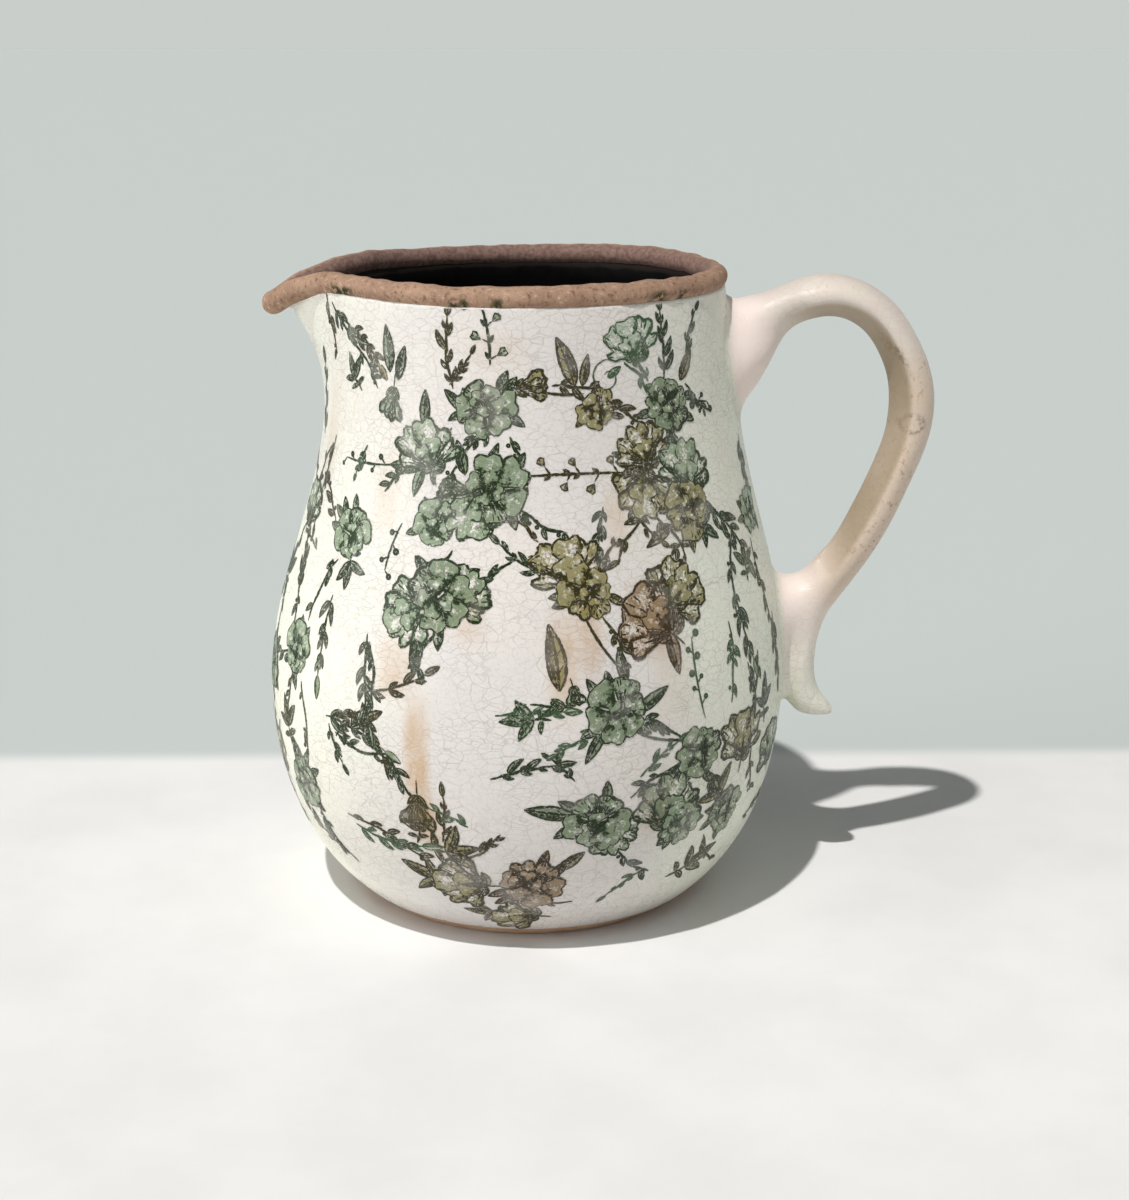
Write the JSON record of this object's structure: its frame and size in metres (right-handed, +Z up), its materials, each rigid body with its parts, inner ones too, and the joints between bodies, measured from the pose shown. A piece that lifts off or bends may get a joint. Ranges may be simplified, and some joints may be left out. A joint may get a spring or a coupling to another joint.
{
  "type": "ceramic pitcher",
  "caption": "Pear-shaped ceramic pitcher with a pinched spout, rolled bare rim, looped strap handle with a curled tail, crackle glaze and green floral print.",
  "frame": {"origin": "centre of the foot, on the surface the pitcher stands on", "axes": "+Z up; the handle points to +X and the spout to -X; +Y is the side of the pitcher"},
  "size_m": [0.2102, 0.1648, 0.2],
  "materials": {
    "crackle_glaze": "satin",
    "handle_glaze": "satin",
    "dark_glaze": "gloss",
    "rim_clay": "matte",
    "bare_clay": "matte"
  },
  "bodies": {
    "root": {"vessel_body": "crackle_glaze", "foot_ring": "bare_clay", "rim_band": "rim_clay", "inner_glaze": "dark_glaze", "handle": "handle_glaze", "handle_tail": "handle_glaze", "upper_joint_coil": "handle_glaze", "lower_joint_coil": "handle_glaze"}
  },
  "joints": []
}
